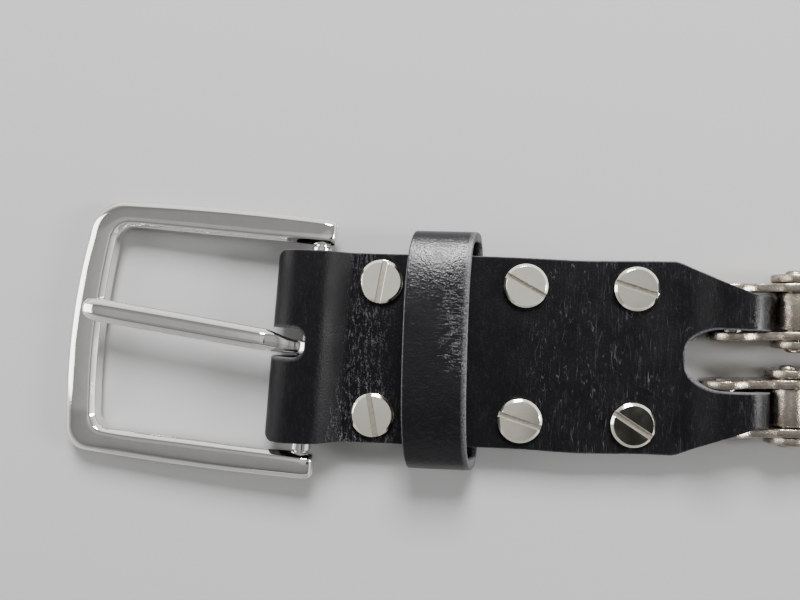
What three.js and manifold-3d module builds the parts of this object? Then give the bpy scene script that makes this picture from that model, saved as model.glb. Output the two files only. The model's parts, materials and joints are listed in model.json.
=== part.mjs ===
import * as THREE from 'three';
import { mergeVertices } from 'three/addons/utils/BufferGeometryUtils.js';
import Module from 'manifold-3d';

const wasm = await Module();
wasm.setup();

// A leather and roller chain belt laid straight on a table, in millimetres.
// +X runs along the belt from the buckle to the tip, +Z is up from the table.
// While it is built, x = 0 is the left edge of the leather fold round the buckle bar
// and y = 0 is the middle of the strap.

// Leather
const STRAP_WIDTH = 40;
const LEATHER = 2.4;
const LAYER_GAP = 0.2;
const FOLD_CORNER = 1.6;

// Screw posts
const HEAD_RADIUS = 4.6;
const HEAD_THICKNESS = 1.3;
const BACK_THICKNESS = 1.1;
const HEAD_GAP = 0.15;
const POST_RADIUS = 2.4;
const POST_HOLE_RADIUS = 2.7;
const HEAD_SLOT = { width: 1.1, depth: 0.6 };
const SCREW_ROW = 14;

// Places along the front strap, from the fold's left edge
const FRONT_COLUMNS = [22.5, 52.9, 75.8];
const BUCKLE_TAIL_END = 29.4;
const CHAIN_TAIL_END = 45.6;
const FORK_END = 103.1;

// The buckle end lies a little askew: its points shift along X by this share of their y, less
// and less towards the fork.
const FOLD_SKEW = 0.05;
const SKEW_END = 85;

// Heights under and over every piece, for cuts that go right through
const UNDER_ALL = -1;
const OVER_ALL = 20;

// Heights of the two leather layers' middles
const LOWER_LAYER = BACK_THICKNESS + HEAD_GAP + LEATHER / 2;
const UPPER_LAYER = LOWER_LAYER + LEATHER + LAYER_GAP;
const ON_TABLE = LEATHER / 2;

// Fold round the buckle bar: its highest middle line and its half length, and where its layers
// leave and reach their straight run
const BUCKLE_FOLD = { top: 9.6, reach: 4.8, upperFrom: 9.2, upperTo: 16.8, lowerFrom: 12.6, lowerTo: 16.6 };

// Fork
const FORK_SLOT_APEX = 85.9;
const FORK_SLOT_HALF = 5.35;
const TAB_INNER = 6.4;
const TAB_OUTER = 13.3;
const SHOULDER_START = 84.7;
const SHOULDER_ROWS = [
  { x: SHOULDER_START, y: STRAP_WIDTH / 2 },
  { x: 86.6, y: 19 },
  { x: 90.6, y: 16.5 },
  { x: 93.2, y: 15 },
  { x: 96, y: 13.8 },
  { x: 99.4, y: TAB_OUTER },
];

// Fold round the chain pins, with the same meaning as the buckle's
const CHAIN_FOLD = { top: 10, reach: 4.4, upperFrom: 85, upperTo: 95.2, lowerFrom: 90, lowerTo: 84 };
const PLATE_RELIEF = 0.35;

// Buckle
const BAR_X = 8.3;
const BAR_Y = -0.6;
const BAR_Z = 4.8;
const BAR_RADIUS = 2.1;
const BAR_END = { radius: 1.5, length: 3.1, socketRadius: 1.8, shoulderGap: 0.3 };
const BUCKLE_YAW = THREE.MathUtils.degToRad(-4.2);
const FRAME = { reach: 52, past: 3, halfWidth: 27.6, arm: 5.5, bar: 6.4, thickness: 5, bevel: 1.2 };
const FRAME_CORNER = { outer: 5.2, inner: 3.4, armEnd: 1.5 };
// How far the arms and the far bar curve out in the middle of their length
const FRAME_BOW = { arm: 0.5, bar: 1.6, barInside: 1.1 };
const TONGUE = { yaw: THREE.MathUtils.degToRad(3.7), eyeWidth: 3, y: 0.36 };
const EYE = { inner: 2.45, outer: 3.35 };

// Tongue slot in the fold
const TONGUE_SLOT = { half: 3.1, y: 0.6, upperEnd: 8.1, lowerEnd: 13 };

// Keeper
const KEEPER = { x: 38.6, width: 12.8, leather: 2.1, half: 24.85, seat: 6, top: 14.6, y: 0.15, lean: 4.3 };
const KEEPER_ROUNDNESS = { above: 2.7, below: 4.5 };

// Roller chain
const PITCH = 12.7;
const LINKS = 27;
const UPPER_FIRST_PIN = 95.8;
const LOWER_FIRST_PIN = 94.7;
const PIN_Z = 4.8;
const INNER_PLATE = { radius: 4.8, from: 4, to: 5.8 };
const OUTER_PLATE = { radius: 4.25, from: 5.6, to: 7.6 };
const ROLLER_RADIUS = 3.9;
const END_BUSH_RADIUS = 2.1;
const ROLLER_OVERLAP = 0.15;
const CHAIN_OFFSET = 9.85;
const WANDER_LENGTH = 70;
const UPPER_WANDER = Math.tan(THREE.MathUtils.degToRad(3.2));
const LOWER_WANDER = Math.tan(THREE.MathUtils.degToRad(4.6));

// Tip strap, measured back from its own fork end
const TIP_COLUMNS = [27.1, 50.3];
const TIP_TAIL_END = 58;
const TIP_DESCENT = 14;
const TIP_LENGTH = 430;
const TIP_POINT = 26;
const TIP_HOLES = { count: 6, spacing: 25, fromEnd: 82, radius: 2.5 };

// Solids

function toSolid(geometry) {
  const bare = geometry.clone();
  bare.deleteAttribute('normal');
  bare.deleteAttribute('uv');
  const merged = mergeVertices(bare, 1e-4);
  return new wasm.Manifold(new wasm.Mesh({
    numProp: 3,
    vertProperties: new Float32Array(merged.attributes.position.array),
    triVerts: new Uint32Array(merged.index.array),
  }));
}

function toGeometry(solid) {
  const mesh = solid.getMesh();
  const geometry = new THREE.BufferGeometry();
  geometry.setAttribute('position', new THREE.BufferAttribute(mesh.vertProperties, 3));
  geometry.setIndex(new THREE.BufferAttribute(mesh.triVerts, 1));
  geometry.computeVertexNormals();
  return geometry;
}

function join(solids) {
  return solids.reduce((sum, solid) => sum.add(solid));
}

// A plan outline (x, y) raised from one height to another.
function planPrism(points, bottom, top) {
  const geometry = new THREE.ExtrudeGeometry(new THREE.Shape(points), {
    depth: top - bottom,
    bevelEnabled: false,
  });
  geometry.translate(0, 0, bottom);
  return geometry;
}

// A side outline (x, z) widened across the belt from one y to another.
function sidePrism(points, fromY, toY, holes = []) {
  const shape = new THREE.Shape(points);
  shape.holes = holes.map((hole) => new THREE.Path(hole));
  const geometry = new THREE.ExtrudeGeometry(shape, { depth: toY - fromY, bevelEnabled: false });
  geometry.rotateX(Math.PI / 2);
  geometry.translate(0, toY, 0);
  return geometry;
}

function arcPoints(centreX, centreY, radiusX, radiusY, fromDegrees, toDegrees, steps) {
  const points = [];
  for (let step = 0; step <= steps; step += 1) {
    const angle = THREE.MathUtils.degToRad(fromDegrees + (toDegrees - fromDegrees) * step / steps);
    points.push(new THREE.Vector2(centreX + radiusX * Math.cos(angle), centreY + radiusY * Math.sin(angle)));
  }
  return points;
}

// Points of a smooth rise between two levels, with a level tangent at both ends.
function easePoints(fromX, fromZ, toX, toZ, steps) {
  const points = [];
  for (let step = 0; step <= steps; step += 1) {
    const part = step / steps;
    const eased = part * part * (3 - 2 * part);
    points.push(new THREE.Vector2(fromX + (toX - fromX) * part, fromZ + (toZ - fromZ) * eased));
  }
  return points;
}

// The closed outline of a strip of one thickness along a centre line.
function stripOutline(centre, thickness) {
  const left = [];
  const right = [];
  for (let i = 0; i < centre.length; i += 1) {
    const back = centre[Math.max(i - 1, 0)];
    const ahead = centre[Math.min(i + 1, centre.length - 1)];
    const into = centre[i].clone().sub(back).normalize();
    const out = ahead.clone().sub(centre[i]).normalize();
    if (i === 0) into.copy(out);
    if (i === centre.length - 1) out.copy(into);
    const along = into.clone().add(out).normalize();
    const reach = thickness / 2 / along.dot(out);
    const normal = new THREE.Vector2(-along.y, along.x).multiplyScalar(reach);
    left.push(centre[i].clone().add(normal));
    right.unshift(centre[i].clone().sub(normal));
  }
  return [...left, ...right];
}

function boxSolid(fromX, toX, fromY, toY, fromZ, toZ) {
  const geometry = new THREE.BoxGeometry(toX - fromX, toY - fromY, toZ - fromZ);
  geometry.translate((fromX + toX) / 2, (fromY + toY) / 2, (fromZ + toZ) / 2);
  return toSolid(geometry);
}

// An upright round hole or post.
function uprightRound(x, y, radius, bottom, top, sides) {
  const geometry = new THREE.CylinderGeometry(radius, radius, top - bottom, sides);
  geometry.rotateX(Math.PI / 2);
  geometry.translate(x, y, (bottom + top) / 2);
  return toSolid(geometry);
}

// Materials

const leatherBlack = new THREE.MeshStandardMaterial({ color: 0x15161a, roughness: 0.45, metalness: 0 });
const keeperBlack = new THREE.MeshStandardMaterial({ color: 0x121216, roughness: 0.38, metalness: 0 });
const polishedNickel = new THREE.MeshStandardMaterial({ color: 0xd9dadb, roughness: 0.12, metalness: 1 });
const screwNickel = new THREE.MeshStandardMaterial({ color: 0xc9c4ba, roughness: 0.28, metalness: 1 });
const chainNickel = new THREE.MeshStandardMaterial({ color: 0xb9b1a4, roughness: 0.36, metalness: 1 });

// Leather pieces

// The fork in plan, from the full strap width to the two tabs, with the round slot between them.
// Both the shoulders and the slot are mirrored about the middle of the strap.
function forkOutline() {
  const past = FORK_END + 1;
  const slotCentre = FORK_SLOT_APEX + FORK_SLOT_HALF;
  const slot = arcPoints(slotCentre, 0, FORK_SLOT_HALF, FORK_SLOT_HALF, 90, 180, 4);
  const halfFork = [
    ...SHOULDER_ROWS.map(({ x, y }) => new THREE.Vector2(x, y)),
    new THREE.Vector2(past, TAB_OUTER),
    new THREE.Vector2(past, TAB_INNER),
    new THREE.Vector2(slotCentre + 1.2, TAB_INNER),
    ...slot,
  ];
  const mirrored = halfFork.slice(0, -1).reverse().map((point) => new THREE.Vector2(point.x, -point.y));
  return [...halfFork, ...mirrored];
}

// The centre line of the leather round the chain pin: it leaves the upper layer, rises over the
// pin, turns down and comes back along the table and up to the lower layer.
function chainFoldLine() {
  const { top, reach, upperFrom, upperTo, lowerFrom, lowerTo } = CHAIN_FOLD;
  const middle = (top + ON_TABLE) / 2;
  const height = (top - ON_TABLE) / 2;
  const centre = FORK_END - LEATHER / 2 - reach;
  return [
    ...easePoints(upperFrom, UPPER_LAYER, upperTo, top, 4),
    ...arcPoints(centre, middle, reach, height, 90, -90, 8),
    ...easePoints(lowerFrom, ON_TABLE, lowerTo, LOWER_LAYER, 2),
  ];
}

// The room that the first link's two plates take out of the leather beside one tab: under the
// shoulder and in the slot's corner.
function plateRelief(side, pinX) {
  const radius = INNER_PLATE.radius + PLATE_RELIEF;
  const outline = [
    new THREE.Vector2(pinX - radius, UNDER_ALL),
    ...arcPoints(pinX, PIN_Z, radius, radius, 180, 90, 5),
    new THREE.Vector2(FORK_END + 2, PIN_Z + radius),
    new THREE.Vector2(FORK_END + 2, UNDER_ALL),
  ];
  outline.reverse();
  return join([[TAB_OUTER, STRAP_WIDTH], [1, TAB_INNER]].map((across) => {
    const edges = across.map((y) => y * side).sort((a, b) => a - b);
    return toSolid(sidePrism(outline, edges[0], edges[1]));
  }));
}

function screwHoles(columns) {
  const rows = [SCREW_ROW, -SCREW_ROW];
  return join(columns.flatMap((x) => rows.map((y) => uprightRound(x, y, POST_HOLE_RADIUS, UNDER_ALL, OVER_ALL, 8))));
}

// The shift along X that the askew buckle end gives to a point.
function skewAt(x, y) {
  return FOLD_SKEW * y * Math.max(0, 1 - Math.max(x, 0) / SKEW_END);
}

function frontStrap() {
  const half = STRAP_WIDTH / 2;
  const { top, reach, upperFrom, upperTo, lowerFrom, lowerTo } = BUCKLE_FOLD;
  const centre = LEATHER / 2 + reach;
  const line = [
    new THREE.Vector2(BUCKLE_TAIL_END, LOWER_LAYER),
    ...easePoints(lowerTo, LOWER_LAYER, lowerFrom, ON_TABLE, 2),
    ...arcPoints(centre, (top + ON_TABLE) / 2, reach, (top - ON_TABLE) / 2, 270, 90, 8),
    ...easePoints(upperFrom, top, upperTo, UPPER_LAYER, 4),
    ...chainFoldLine(),
    new THREE.Vector2(CHAIN_TAIL_END, LOWER_LAYER),
  ];
  const strip = toSolid(sidePrism(stripOutline(line, LEATHER).reverse(), -half, half));
  const plan = [
    ...forkOutline(),
    new THREE.Vector2(FOLD_CORNER, -half),
    new THREE.Vector2(-0.1, -half + FOLD_CORNER),
    new THREE.Vector2(-0.1, half - FOLD_CORNER),
    new THREE.Vector2(FOLD_CORNER, half),
  ].reverse();
  const slotTop = [
    new THREE.Vector2(-2, -TONGUE_SLOT.half),
    ...arcPoints(TONGUE_SLOT.upperEnd - TONGUE_SLOT.half, 0, TONGUE_SLOT.half, TONGUE_SLOT.half, -90, 90, 5),
    new THREE.Vector2(-2, TONGUE_SLOT.half),
  ].map((point) => point.add(new THREE.Vector2(0, TONGUE_SLOT.y)));
  const slotLow = TONGUE_SLOT.y - TONGUE_SLOT.half;
  const slotHigh = TONGUE_SLOT.y + TONGUE_SLOT.half;
  const straight = strip
    .intersect(toSolid(planPrism(plan, UNDER_ALL, OVER_ALL)))
    .subtract(toSolid(planPrism(slotTop, BAR_Z, OVER_ALL)))
    .subtract(boxSolid(-2, TONGUE_SLOT.lowerEnd, slotLow, slotHigh, UNDER_ALL, BAR_Z))
    .subtract(plateRelief(1, UPPER_FIRST_PIN))
    .subtract(plateRelief(-1, LOWER_FIRST_PIN))
    .subtract(screwHoles(FRONT_COLUMNS));
  const geometry = toGeometry(straight);
  const position = geometry.attributes.position;
  for (let i = 0; i < position.count; i += 1) {
    position.setX(i, position.getX(i) + skewAt(position.getX(i), position.getY(i)));
  }
  return toSolid(geometry);
}

// The tip strap is drawn like the front strap's fork end and turned to face the other way:
// x counts back from the fork end, so its free end lies at FORK_END - TIP_LENGTH.
function tipStrap() {
  const half = STRAP_WIDTH / 2;
  const tail = FORK_END - TIP_TAIL_END;
  const end = FORK_END - TIP_LENGTH;
  const line = [
    new THREE.Vector2(end - 1, ON_TABLE),
    ...easePoints(tail - 1 - TIP_DESCENT, ON_TABLE, tail - 1, UPPER_LAYER, 4),
    ...chainFoldLine(),
    new THREE.Vector2(tail, LOWER_LAYER),
  ];
  const strip = toSolid(sidePrism(stripOutline(line, LEATHER).reverse(), -half, half));
  const point = arcPoints(end + TIP_POINT, 0, TIP_POINT, half, 90, 270, 10);
  const plan = [...forkOutline(), ...point.reverse()].reverse();
  const holes = [];
  for (let i = 0; i < TIP_HOLES.count; i += 1) {
    const x = end + TIP_HOLES.fromEnd + i * TIP_HOLES.spacing;
    holes.push(uprightRound(x, 0, TIP_HOLES.radius, -1, 20, 10));
  }
  const columns = TIP_COLUMNS.map((back) => FORK_END - back);
  return strip
    .intersect(toSolid(planPrism(plan, UNDER_ALL, OVER_ALL)))
    .subtract(plateRelief(-1, UPPER_FIRST_PIN))
    .subtract(plateRelief(1, 2 * UPPER_FIRST_PIN - LOWER_FIRST_PIN))
    .subtract(screwHoles(columns))
    .subtract(join(holes));
}

// A closed ring across the belt: flat below, arched above, its crown leaning to the buckle.
function keeperLoop() {
  const ring = (inset) => {
    const points = [];
    const steps = 20;
    for (let step = 0; step < steps; step += 1) {
      const angle = 2 * Math.PI * step / steps;
      const above = Math.sin(angle) >= 0;
      const power = 2 / (above ? KEEPER_ROUNDNESS.above : KEEPER_ROUNDNESS.below);
      const height = above ? KEEPER.top - KEEPER.seat : KEEPER.seat;
      const across = Math.sign(Math.cos(angle)) * Math.abs(Math.cos(angle)) ** power;
      const up = Math.sign(Math.sin(angle)) * Math.abs(Math.sin(angle)) ** power;
      points.push(new THREE.Vector2(across * (KEEPER.half - inset), KEEPER.seat + up * (height - inset)));
    }
    return points;
  };
  const shape = new THREE.Shape(ring(0));
  shape.holes = [new THREE.Path(ring(KEEPER.leather))];
  const geometry = new THREE.ExtrudeGeometry(shape, { depth: KEEPER.width, bevelEnabled: false });
  geometry.rotateX(Math.PI / 2);
  geometry.rotateZ(Math.PI / 2);
  geometry.translate(KEEPER.x - KEEPER.width / 2, KEEPER.y, 0);
  const position = geometry.attributes.position;
  for (let i = 0; i < position.count; i += 1) {
    const lift = position.getZ(i) / KEEPER.top;
    position.setX(i, position.getX(i) - KEEPER.lean * lift);
  }
  return toSolid(geometry);
}

// Metal pieces

// One screw post: a flat back head, the post, and a front head with a driver slot.
function screwPost(slotDegrees) {
  const back = BACK_THICKNESS;
  const seat = UPPER_LAYER + LEATHER / 2 + HEAD_GAP;
  const top = seat + HEAD_THICKNESS;
  const profile = [
    [0, 0],
    [HEAD_RADIUS, 0],
    [HEAD_RADIUS, back],
    [POST_RADIUS, back],
    [POST_RADIUS, seat],
    [HEAD_RADIUS, seat],
    [HEAD_RADIUS, top],
    [0, top],
  ].map(([radius, z]) => new THREE.Vector2(radius, z));
  const turned = new THREE.LatheGeometry(profile, 10);
  turned.rotateX(Math.PI / 2);
  const slot = new THREE.BoxGeometry(3 * HEAD_RADIUS, HEAD_SLOT.width, 2 * HEAD_SLOT.depth);
  slot.rotateZ(THREE.MathUtils.degToRad(slotDegrees));
  slot.translate(0, 0, top);
  return toSolid(turned).subtract(toSolid(slot));
}

// The points between two ends of a side that curves out in its middle.
function bowedSide(from, to, bow, steps) {
  const points = [];
  for (let i = 1; i < steps; i += 1) {
    const share = i / steps;
    points.push(from.clone().lerp(to, share).addScaledVector(bow, 4 * share * (1 - share)));
  }
  return points;
}

// The frame in its own plane, with the bar's axis at its origin.
function buckleFrame() {
  const half = FRAME.halfWidth;
  const inner = half - FRAME.arm;
  const left = -FRAME.reach;
  const right = FRAME.past;
  const { outer: outerCorner, inner: innerCorner, armEnd: endCut } = FRAME_CORNER;
  const insideLeft = left + FRAME.bar;
  const at = (x, y) => new THREE.Vector2(x, y);
  const cornerX = left + outerCorner;
  const cornerY = half - outerCorner;
  const insideX = insideLeft + innerCorner;
  const insideY = inner - innerCorner;
  const outline = [
    at(right - endCut, half),
    ...bowedSide(at(right - endCut, half), at(cornerX, half), at(0, FRAME_BOW.arm), 4),
    ...arcPoints(cornerX, cornerY, outerCorner, outerCorner, 90, 180, 3),
    ...bowedSide(at(left, cornerY), at(left, -cornerY), at(-FRAME_BOW.bar, 0), 6),
    ...arcPoints(cornerX, -cornerY, outerCorner, outerCorner, 180, 270, 3),
    ...bowedSide(at(cornerX, -half), at(right - endCut, -half), at(0, -FRAME_BOW.arm), 4),
    at(right - endCut, -half),
    at(right, -half + endCut),
    at(right, -inner),
    ...arcPoints(insideX, -insideY, innerCorner, innerCorner, 270, 180, 3),
    ...bowedSide(at(insideLeft, -insideY), at(insideLeft, insideY), at(-FRAME_BOW.barInside, 0), 6),
    ...arcPoints(insideX, insideY, innerCorner, innerCorner, 180, 90, 3),
    at(right, inner),
    at(right, half - endCut),
  ];
  const depth = FRAME.thickness - 2 * FRAME.bevel;
  const geometry = new THREE.ExtrudeGeometry(new THREE.Shape(outline), {
    depth,
    bevelThickness: FRAME.bevel,
    bevelSize: FRAME.bevel,
    bevelOffset: -FRAME.bevel,
    bevelSegments: 1,
  });
  geometry.translate(0, 0, -depth / 2);
  const { socketRadius, length: depthInArm } = BAR_END;
  const socket = new THREE.CylinderGeometry(socketRadius, socketRadius, 2 * (inner + depthInArm), 10);
  return toSolid(geometry).subtract(toSolid(socket));
}

// The bar is turned down at its ends, where it sits in the arms.
function buckleBar() {
  const shoulder = FRAME.halfWidth - FRAME.arm - BAR_END.shoulderGap;
  const end = shoulder + BAR_END.length;
  const profile = [
    [0, -end],
    [BAR_END.radius, -end],
    [BAR_END.radius, -shoulder],
    [BAR_RADIUS, -shoulder],
    [BAR_RADIUS, shoulder],
    [BAR_END.radius, shoulder],
    [BAR_END.radius, end],
    [0, end],
  ].map(([radius, y]) => new THREE.Vector2(radius, y));
  return toSolid(new THREE.LatheGeometry(profile, 10));
}

// The tongue's rows run from its tip to the eye: distance from the bar's axis, height of the
// middle over the axis, width and thickness. It dips into the slot just before the eye.
const TONGUE_ROWS = [
  { reach: 49.6, rise: 3.95, width: 2.6, thickness: 1.6 },
  { reach: 48.6, rise: 4.1, width: 4.4, thickness: 2.4 },
  { reach: 45.2, rise: 4.3, width: 5, thickness: 2.8 },
  { reach: 26, rise: 4.1, width: 5, thickness: 3 },
  { reach: 9, rise: 3.6, width: 4.6, thickness: 2.8 },
  { reach: 7.4, rise: 3.1, width: 4.2, thickness: 2.6 },
  { reach: 5.4, rise: 2.3, width: 3.4, thickness: 2.4 },
  { reach: 4, rise: 1.3, width: 3, thickness: 2.2 },
  { reach: 2.8, rise: 0.5, width: 3, thickness: 2.2 },
];

// A bar with an eight-sided section that changes along its rows.
function facetedBar(rows) {
  const section = [[1, 0.45], [0.5, 1], [-0.5, 1], [-1, 0.45], [-1, -0.45], [-0.5, -1], [0.5, -1], [1, -0.45]];
  const positions = [];
  for (const row of rows) {
    const side = TONGUE.y + Math.tan(TONGUE.yaw) * row.reach;
    for (const [across, up] of section) {
      positions.push(-row.reach, side + across * row.width / 2, row.rise + up * row.thickness / 2);
    }
  }
  const count = section.length;
  const faces = [];
  for (let row = 0; row + 1 < rows.length; row += 1) {
    for (let i = 0; i < count; i += 1) {
      const a = row * count + i;
      const b = row * count + (i + 1) % count;
      faces.push(a, b, a + count, b, b + count, a + count);
    }
  }
  const last = (rows.length - 1) * count;
  for (let i = 1; i + 1 < count; i += 1) {
    faces.push(0, i + 1, i);
    faces.push(last, last + i, last + i + 1);
  }
  const geometry = new THREE.BufferGeometry();
  geometry.setAttribute('position', new THREE.Float32BufferAttribute(positions, 3));
  geometry.setIndex(faces);
  return geometry;
}

function buckleTongue() {
  const width = TONGUE.eyeWidth;
  const eye = new THREE.CylinderGeometry(EYE.outer, EYE.outer, width, 10);
  eye.translate(0, TONGUE.y, 0);
  const bore = new THREE.CylinderGeometry(EYE.inner, EYE.inner, 4 * width, 10);
  return toSolid(facetedBar(TONGUE_ROWS)).add(toSolid(eye)).subtract(toSolid(bore));
}

// Roller chain

// The pins of one chain, a pitch apart. The chain leaves the fork a little to one side and comes
// back into line over the first few links.
function chainPins(firstX, baseY, wander) {
  const drift = (s) => wander * s * Math.max(0, 1 - s / WANDER_LENGTH) ** 2;
  const pins = [new THREE.Vector2(firstX, baseY)];
  for (let i = 1; i <= LINKS; i += 1) {
    const before = pins[i - 1];
    const y = baseY + drift(i * PITCH);
    pins.push(new THREE.Vector2(before.x + Math.sqrt(PITCH ** 2 - (y - before.y) ** 2), y));
  }
  return pins;
}

// A link plate: a long plate with round ends on two pins, five points to each end.
function linkPlate(plate, side) {
  const outline = [
    ...arcPoints(0, 0, plate.radius, plate.radius, 90, 270, 4),
    ...arcPoints(PITCH, 0, plate.radius, plate.radius, -90, 90, 4),
  ];
  const edges = [plate.from * side, plate.to * side].sort((a, b) => a - b);
  return sidePrism(outline, edges[0], edges[1]);
}

// One whole chain: inner and outer links in turn, with a roller on each pin between two links and
// a plain bush on the end pins, where the leather goes round.
function rollerChain(firstX, baseY, wander) {
  const pins = chainPins(firstX, baseY, wander);
  const solids = [];
  for (let i = 0; i < LINKS; i += 1) {
    const plate = i % 2 === 0 ? INNER_PLATE : OUTER_PLATE;
    const along = pins[i + 1].clone().sub(pins[i]);
    for (const side of [1, -1]) {
      const geometry = linkPlate(plate, side);
      geometry.rotateZ(along.angle());
      geometry.translate(pins[i].x, pins[i].y, PIN_Z);
      solids.push(toSolid(geometry));
    }
  }
  pins.forEach((pin, i) => {
    const radius = i === 0 || i === LINKS ? END_BUSH_RADIUS : ROLLER_RADIUS;
    const length = 2 * (INNER_PLATE.from + ROLLER_OVERLAP);
    const roller = new THREE.CylinderGeometry(radius, radius, length, 10);
    roller.translate(pin.x, pin.y, PIN_Z);
    solids.push(toSolid(roller));
  });
  return join(solids);
}

// Assembly

function named(name, solid, material) {
  const mesh = new THREE.Mesh(toGeometry(solid), material.clone());
  mesh.name = name;
  return mesh;
}

const belt = new THREE.Group();
belt.add(named('front_strap', frontStrap(), leatherBlack));
belt.add(named('keeper_loop', keeperLoop(), keeperBlack));

// The buckle hangs on its bar: turned a little on the table, with its far bar lying on it.
const buckle = new THREE.Group();
buckle.position.set(BAR_X, BAR_Y, BAR_Z);
buckle.rotation.z = BUCKLE_YAW;
const footReach = FRAME.reach + FRAME_BOW.bar - FRAME.bevel;
const footDepth = FRAME.thickness / 2;
const tilt = Math.asin(BAR_Z / Math.hypot(footReach, footDepth)) - Math.atan2(footDepth, footReach);
const lowered = new THREE.Group();
lowered.rotation.y = -tilt;
lowered.add(named('buckle_frame', buckleFrame(), polishedNickel));
lowered.add(named('buckle_bar', buckleBar(), polishedNickel));
lowered.add(named('buckle_tongue', buckleTongue(), polishedNickel));
buckle.add(lowered);
belt.add(buckle);

const FRONT_SLOTS = [[81, -79], [-28, -17], [-17, -32]];
FRONT_COLUMNS.forEach((x, column) => {
  ['upper', 'lower'].forEach((row, index) => {
    const name = `front_screw_${column + 1}_${row}`;
    const post = named(name, screwPost(FRONT_SLOTS[column][index]), screwNickel);
    const y = index === 0 ? SCREW_ROW : -SCREW_ROW;
    post.position.set(x + skewAt(x, y), y, 0);
    belt.add(post);
  });
});

const upperChain = rollerChain(UPPER_FIRST_PIN, CHAIN_OFFSET, UPPER_WANDER);
const lowerChain = rollerChain(LOWER_FIRST_PIN, -CHAIN_OFFSET, LOWER_WANDER);
belt.add(named('upper_chain', upperChain, chainNickel));
belt.add(named('lower_chain', lowerChain, chainNickel));

// The tip piece faces the other way, its fork on the chains' last pins.
const tip = new THREE.Group();
const lastPinX = UPPER_FIRST_PIN + LINKS * PITCH;
tip.position.set(lastPinX + UPPER_FIRST_PIN, 0, 0);
tip.rotation.z = Math.PI;
tip.add(named('tip_strap', tipStrap(), leatherBlack));
const TIP_SLOTS = [[25, 62], [-40, 8]];
TIP_COLUMNS.forEach((back, column) => {
  ['upper', 'lower'].forEach((row, index) => {
    const name = `tip_screw_${column + 1}_${row}`;
    const post = named(name, screwPost(TIP_SLOTS[column][index]), screwNickel);
    post.position.set(FORK_END - back, index === 0 ? -SCREW_ROW : SCREW_ROW, 0);
    tip.add(post);
  });
});
belt.add(tip);

// The whole belt stands with the middle of its underside at the origin.
belt.updateMatrixWorld(true);
const extent = new THREE.Box3().setFromObject(belt, true);
const middle = extent.getCenter(new THREE.Vector3());
belt.position.set(-middle.x, -middle.y, -extent.min.z);
belt.updateMatrixWorld(true);

export default belt;
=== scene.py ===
import json
import math

import bmesh
import bpy
from mathutils import Euler, Matrix, Vector


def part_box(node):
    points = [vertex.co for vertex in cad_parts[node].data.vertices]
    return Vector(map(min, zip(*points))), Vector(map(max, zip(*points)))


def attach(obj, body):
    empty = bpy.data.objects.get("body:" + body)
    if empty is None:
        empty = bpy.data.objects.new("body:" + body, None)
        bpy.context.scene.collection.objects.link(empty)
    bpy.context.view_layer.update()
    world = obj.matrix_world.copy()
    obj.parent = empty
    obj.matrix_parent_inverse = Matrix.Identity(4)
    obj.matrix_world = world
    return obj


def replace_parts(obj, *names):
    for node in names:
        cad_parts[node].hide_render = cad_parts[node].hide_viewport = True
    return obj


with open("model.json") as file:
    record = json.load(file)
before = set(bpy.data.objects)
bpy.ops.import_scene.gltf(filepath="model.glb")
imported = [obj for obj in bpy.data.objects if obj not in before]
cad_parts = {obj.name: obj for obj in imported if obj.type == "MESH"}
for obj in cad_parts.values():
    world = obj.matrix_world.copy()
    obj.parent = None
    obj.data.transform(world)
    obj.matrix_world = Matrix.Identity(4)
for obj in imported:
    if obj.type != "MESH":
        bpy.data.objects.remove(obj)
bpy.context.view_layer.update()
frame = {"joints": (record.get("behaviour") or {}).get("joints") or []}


# Camera: it looks almost straight down on the buckle end from close by, so the near pieces and
# the raised keeper show a little of their sides. Places on the front strap are given in
# millimetres from the left edge of its fold, from its middle line and from the table.
mm = 0.001
FORK_END = 103.1
strap_low, strap_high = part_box("front_strap")
fold_x = strap_high.x - FORK_END * mm
strap_y = (strap_low.y + strap_high.y) / 2


def on_belt(x, y, z):
    return Vector((fold_x + x * mm, strap_y + y * mm, z * mm))


camera_data = bpy.data.cameras.new("camera")
camera = bpy.data.objects.new("camera", camera_data)
bpy.context.scene.collection.objects.link(camera)
camera_data.sensor_width = 36
camera_data.lens = 29.25
camera_data.clip_start = 0.005
camera.location = on_belt(34.3, 7.4, 143.3)
camera.rotation_euler = Euler([math.radians(angle) for angle in (1.29, 3.0, 1.81)])
bpy.context.scene.camera = camera


# Studio light: four soft boxes round the belt, the brightest behind it, and a grey dome that is
# dim overhead and bright near the horizon, so polished faces look grey and their edges bright.
def softbox(name, place, aim, size, watts):
    data = bpy.data.lights.new(name, "AREA")
    data.shape = "RECTANGLE"
    data.size, data.size_y = size
    data.energy = watts
    light = bpy.data.objects.new(name, data)
    light.location = place
    light.rotation_euler = (Vector(aim) - Vector(place)).to_track_quat("-Z", "Y").to_euler()
    bpy.context.scene.collection.objects.link(light)


softbox("back_box", (-0.33, 0.70, 0.58), (-0.35, 0, 0), (0.32, 0.36), 25)
softbox("right_box", (0.42, 0.0, 0.42), (-0.31, 0, 0), (0.16, 0.24), 6.5)
softbox("left_box", (-1.15, 0.10, 0.35), (-0.35, 0, 0), (0.4, 0.6), 4)
softbox("front_box", (-0.10, -1.05, 0.75), (-0.1, 0, 0), (1.6, 0.4), 1.0)


def put(tree, kind, inputs=None, **settings):
    """Adds a shader node: an input is given a value, or is linked where the value is a socket."""
    made = tree.nodes.new(kind)
    for name, value in settings.items():
        setattr(made, name, value)
    for name, value in (inputs or {}).items():
        if isinstance(value, bpy.types.NodeSocket):
            tree.links.new(value, made.inputs[name])
        else:
            made.inputs[name].default_value = value
    return made


def maths(tree, operation, first, second=0.0, clamp=False):
    made = put(tree, "ShaderNodeMath", {0: first, 1: second}, operation=operation, use_clamp=clamp)
    return made.outputs[0]


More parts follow.
